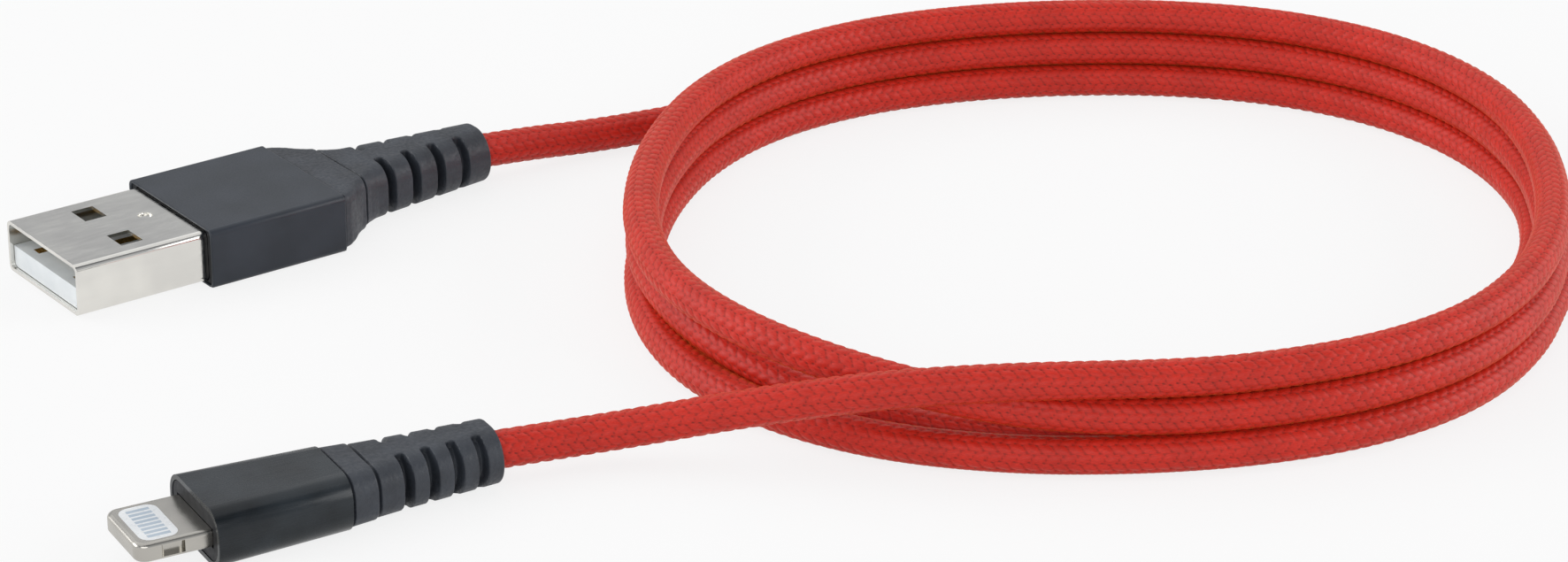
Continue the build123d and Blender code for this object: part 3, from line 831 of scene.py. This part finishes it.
# The phone plug's pads are so finely matt that they look like pale blue-grey paint.
pad_plating = worked_metal(
    "plated contact pad", "#A9B8C6", "#B7C4D0", (0.3, 0.4), (1 / 6, 1 / 6), metallic=0.2
)
print("inner metals:", [m.name for m in (gold, tin, solder_metal, pad_plating)])

# %% [markdown]
# ## Plastics
#
# The tongue, the insert, the trim, the conductors' insulation and the hidden mouldings are all
# injected or extruded. One grey value for gloss would look like a drawing of plastic. A real
# moulding copies the faint waviness of its tool, called orange peel, so the gloss varies a little
# and the surface is bumped by a few thousandths of a millimetre.

# %% Material helper: moulded plastic
PEEL = 2 / 3  # mm from wave to wave of orange peel
PEEL_DEPTH = 0.006  # mm
TINT = 2.5  # mm over which the tone changes
GLOSS_SWING = 0.06


def moulded_plastic(name, colour, darker, rough=0.35, depth=PEEL_DEPTH, specular=0.5):
    """A moulded or extruded polymer, with its orange peel."""
    material, tree = new_material(name)
    at_tint = in_millimetres(tree, (TINT, TINT))
    at_peel = in_millimetres(tree, (PEEL, PEEL))
    cloud = add(tree, "TexNoise", Vector=at_tint, Scale=1.0, Detail=2.0)
    peel = add(tree, "TexNoise", Vector=at_peel, Scale=1.0, Detail=2.0)
    tone = add(tree, "ValToRGB", Fac=cloud.outputs[0])
    set_stops(tone, (0.35, darker), (0.65, colour))
    gloss = add(
        tree,
        "MapRange",
        Value=peel.outputs[0],
        From_Min=NOISE_SPAN[0],
        From_Max=NOISE_SPAN[1],
        To_Min=rough - GLOSS_SWING,
        To_Max=rough + GLOSS_SWING,
    )
    bump = add(tree, "Bump", Height=peel.outputs[0], Strength=0.4, Distance=depth * MM)
    shader = add(
        tree,
        "BsdfPrincipled",
        Base_Color=tone.outputs[0],
        Roughness=gloss.outputs[0],
        Normal=bump.outputs[0],
        IOR=POLYMER_IOR,
        Specular_IOR_Level=specular,
    )
    add(tree, "OutputMaterial", Surface=shader.outputs[0])
    return material


print("orange peel, mm:", round(PEEL, 2), "deep:", PEEL_DEPTH)

# %% Materials: plastics that show
# Glass-filled polyester, the usual polymer of a tongue: a cool white with an even half gloss.
white_tongue = moulded_plastic("moulded white polymer", "#E2E6E7", "#D8DDDF", 0.36, depth=0.002)
# The phone plug's insert is liquid-crystal polymer: whiter, and glossier.
white_insert = moulded_plastic("moulded white insert", "#ECEEEF", "#E4E7E9", 0.3)
# The trim at the front of each housing is deep black and nearly matt.
black_trim = moulded_plastic("moulded black trim", "#101319", "#0C0E13", 0.5, specular=0.2)
print("shown plastics:", [m.name for m in (white_tongue, white_insert, black_trim)])

# %% Materials: hidden plastics
# Hot-melt polyamide fills each plug: milky and a little waxy.
hot_melt = moulded_plastic("hot-melt polyamide", "#D8D6C8", "#CBC8B8", 0.45)
# Glass-epoxy laminate under a green solder mask: smooth, and half glossy.
laminate = moulded_plastic("glass-epoxy laminate", "#1F6B3A", "#185A30", 0.35)
# Chips are moulded in black epoxy, and capacitors are fired ceramic: both matt.
package = moulded_plastic("moulded chip package", "#1B1B1D", "#151517", 0.5)
ceramic = moulded_plastic("capacitor ceramic", "#A98758", "#97784C", 0.5)
# Extruded insulation in the four usual colours, soft and half glossy.
insulation = {
    "wire_power": moulded_plastic("red insulation", "#B3201E", "#A11B1A", 0.4),
    "wire_data_minus": moulded_plastic("white insulation", "#E6E6E4", "#DADAD7", 0.4),
    "wire_data_plus": moulded_plastic("green insulation", "#1E7A3B", "#196B33", 0.4),
    "wire_ground": moulded_plastic("black insulation", "#1A1A1B", "#141415", 0.4),
}
print("hidden plastics:", 4 + len(insulation))

# %% [markdown]
# ## Dressing the measured pieces
#
# The measured pieces come without a finish. Each could be given its own by hand, piece by piece.
# A table from what a piece is to what it is made of does it in one loop, and shows at a glance
# which pieces share a material. Both plugs name like pieces alike, so one row serves both. A slot
# linked to the object, and not to its mesh, leaves the measured mesh untouched.

# %% Dress the measured pieces
DRESS = {
    "shell": nickel,
    "tongue": white_tongue,
    "contacts": gold,
    "front_bezel": black_trim,
    "front_cap": black_trim,
    "shield_upper": tin,
    "shield_lower": tin,
    "inner_mould": hot_melt,
    "solder_joints": solder_metal,
    "cord_end": nylon,
    "crimp_ring": tin,
    "tab": satin_tab,
    "insert": white_insert,
    "contacts_upper": pad_plating,
    "contacts_lower": pad_plating,
    "circuit_board": laminate,
    "control_chip": package,
    "power_switch": package,
    "capacitors": ceramic,
    "collar": elastomer,
    "boot": elastomer,
    **insulation,
}
HOUSINGS = {"charger": anodised, "phone": drawn_anodised}
for name, node in nodes.items():
    plug, _, piece_name = name.partition("_")
    if plug == "cord":
        material = nylon
    elif piece_name == "housing":
        material = HOUSINGS[plug]
    else:
        material = DRESS[piece_name]
    for slot in node.material_slots:
        slot.link = "OBJECT"
        slot.material = material
print("dressed:", len(nodes))

# %% [markdown]
# ## Soft edges
#
# No real edge is perfectly sharp: the shell's folded sheet and the housings' machined corners all
# catch a thin line of light. The edges could be rounded in the measured model, but a few tenths
# of a millimetre are easier here. A bevel modifier rounds each edge sharper than its limit and
# leaves the mesh alone. A weld comes first, because the measured faces arrive unjoined.

# %% Soft edges on the metal pieces
EDGES = {"charger_housing": 0.3, "charger_shell": 0.1, "phone_housing": 0.22}  # mm
JOIN_WITHIN = 0.001 * MM
SHARPER_THAN = math.radians(35)
for name, width in EDGES.items():
    weld = nodes[name].modifiers.new("joined", "WELD")
    weld.merge_threshold = JOIN_WITHIN
    bevel = nodes[name].modifiers.new("soft edges", "BEVEL")
    bevel.width = width * MM
    bevel.segments = 3
    bevel.limit_method = "ANGLE"
    bevel.angle_limit = SHARPER_THAN
    bevel.harden_normals = True
    print(name, "edge, mm:", width)

# %% [markdown]
# ## The floor
#
# The cable lies on pale paper. A white floor lit brightly enough to look white would light the
# cable from below and wash it out. So for the light that it sends on, the paper is a plain light
# grey, and what the camera and the metal's reflections see of it is mostly a steady white glow.
# The rest of what they see is still lit paper, so the cable's soft shadow stays.

# %% Floor
FLOOR_HALF = 3.0  # m
FLOOR_GLOW = 0.82  # how much of what is seen is glow, and not lit paper


def make_floor():
    """One large square of paper at the height of the table."""
    mesh = bpy.data.meshes.new("floor")
    corners = [(-1, -1), (1, -1), (1, 1), (-1, 1)]
    mesh.from_pydata([(x * FLOOR_HALF, y * FLOOR_HALF, 0) for x, y in corners], [], [(0, 1, 2, 3)])
    floor = link("floor", mesh)
    material, tree = new_material("studio paper")
    rays = add(tree, "LightPath")
    paper = add(tree, "BsdfDiffuse", Color=linear("#E8E8E8"))
    seen = add(
        tree,
        "Math",
        {"operation": "ADD", "use_clamp": True},
        _0=rays.outputs["Is Camera Ray"],
        _1=rays.outputs["Is Glossy Ray"],
    )
    glow = add(tree, "Emission", Color=linear("#FFFFFF"))
    share = add(tree, "Math", {"operation": "MULTIPLY"}, _0=seen.outputs[0], _1=FLOOR_GLOW)
    mix = add(tree, "MixShader", _0=share.outputs[0], _1=paper.outputs[0], _2=glow.outputs[0])
    add(tree, "OutputMaterial", Surface=mix.outputs[0])
    mesh.materials.append(material)
    return floor


floor = make_floor()
print(floor.name, "side, m:", 2 * FLOOR_HALF)

# %% [markdown]
# ## The sky
#
# Polished metal shows whatever is round it, so an even white sky would make the shell look like
# paper. An image of a studio could be the sky. A ramp up the sky's height is enough: bright at the
# horizon, grey a third of the way up as a room's walls are, and dark overhead, where the large top
# lamp already fills the metal's reflections. The camera itself sees plain white.

# %% Sky
SKY_BANDS = [  # (sine of the angle up, linear light)
    (0.08, (1, 1, 1)),
    (0.3, (0.52, 0.53, 0.55)),
    (0.62, (0.5, 0.51, 0.53)),
    (0.8, (0.15, 0.155, 0.165)),
]
SKY_LIGHT, SKY_SEEN = 0.75, 1.0  # strength as a light on the cable, and as what is seen


def make_sky():
    """A world with its bands of light, plain white to the camera."""
    world = bpy.data.worlds.new("sky")
    bpy.context.scene.world = world
    world.use_nodes = True
    tree = world.node_tree
    tree.nodes.clear()
    rays = add(tree, "LightPath")
    direction = add(tree, "TexCoord")
    height = add(tree, "SeparateXYZ", _0=direction.outputs["Generated"])
    wall = add(tree, "ValToRGB", Fac=height.outputs["Z"])
    stops = wall.color_ramp.elements
    while len(stops) < len(SKY_BANDS):
        stops.new(1.0)
    for stop, (place, light) in zip(stops, SKY_BANDS):
        stop.position = place
        stop.color = (*light, 1)
    either = {"operation": "MAXIMUM"}
    seen = add(
        tree, "Math", either, _0=rays.outputs["Is Camera Ray"], _1=rays.outputs["Is Glossy Ray"]
    )
    seen = add(tree, "Math", either, _0=seen.outputs[0], _1=rays.outputs["Is Transmission Ray"])
    strength = add(tree, "MapRange", Value=seen.outputs[0], To_Min=SKY_LIGHT, To_Max=SKY_SEEN)
    shown = add(
        tree,
        "Mix",
        {"data_type": "RGBA"},
        _0=rays.outputs["Is Camera Ray"],
        _6=wall.outputs[0],
        _7=linear("#FFFFFF"),
    )
    sky = add(tree, "Background", Color=shown.outputs[2], Strength=strength.outputs[0])
    add(tree, "OutputWorld", Surface=sky.outputs[0])


make_sky()
print("bands in the sky:", len(SKY_BANDS))

# %% [markdown]
# ## The lamps
#
# One lamp would give the cable hard shadows and leave half of each plug black. Four large soft
# ones are a usual table set: a top lamp behind the cable for its shape, a fill from the front for
# the sides that face the camera, and a strip at each side that draws a light edge on the metal.
# The Standard view transform then shows each colour about as it was written.

# %% Lamps
LAMPS_POINT_AT = Vector((0.03, -0.03, 0.0))
LAMPS = [  # (name, size in m, watts, place in m)
    ("top lamp", (1.5, 1.2), 4.4, (0.05, 0.25, 0.75)),
    ("front fill", (0.9, 0.5), 2.6, (-0.55, -0.75, 0.45)),
    ("left strip", (0.7, 0.35), 2.8, (-0.57, 0.42, 0.32)),
    ("right strip", (0.7, 0.35), 2.6, (0.63, -0.48, 0.32)),
]
for name, size, watts, place in LAMPS:
    data = bpy.data.lights.new(name, "AREA")
    data.shape = "RECTANGLE"
    data.size, data.size_y = size
    data.energy = watts
    lamp = bpy.data.objects.new(name, data)
    lamp.location = place
    lamp.rotation_euler = (LAMPS_POINT_AT - Vector(place)).to_track_quat("-Z", "Y").to_euler()
    bpy.context.scene.collection.objects.link(lamp)
    print(name, "watts:", watts)
bpy.context.scene.view_settings.view_transform = "Standard"

# %% [markdown]
# ## The cord's end pieces
#
# The cord is one length of something flexible, with a plug on its far end. The pieces that sit on that
# end are listed, the measured cord pieces are hidden, and the woven cord takes their place.

SLEEVED = ("phone_collar", "phone_boot")
plug_pieces = [name for name in nodes if name.startswith("phone_") and name not in SLEEVED]
plug_pieces += [name + "_moulded" for name in SLEEVED]
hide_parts("cord_coil", "cord_lead_charger", "cord_lead_phone")
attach(cord, "root")
print("pieces on the cord's end:", len(plug_pieces))
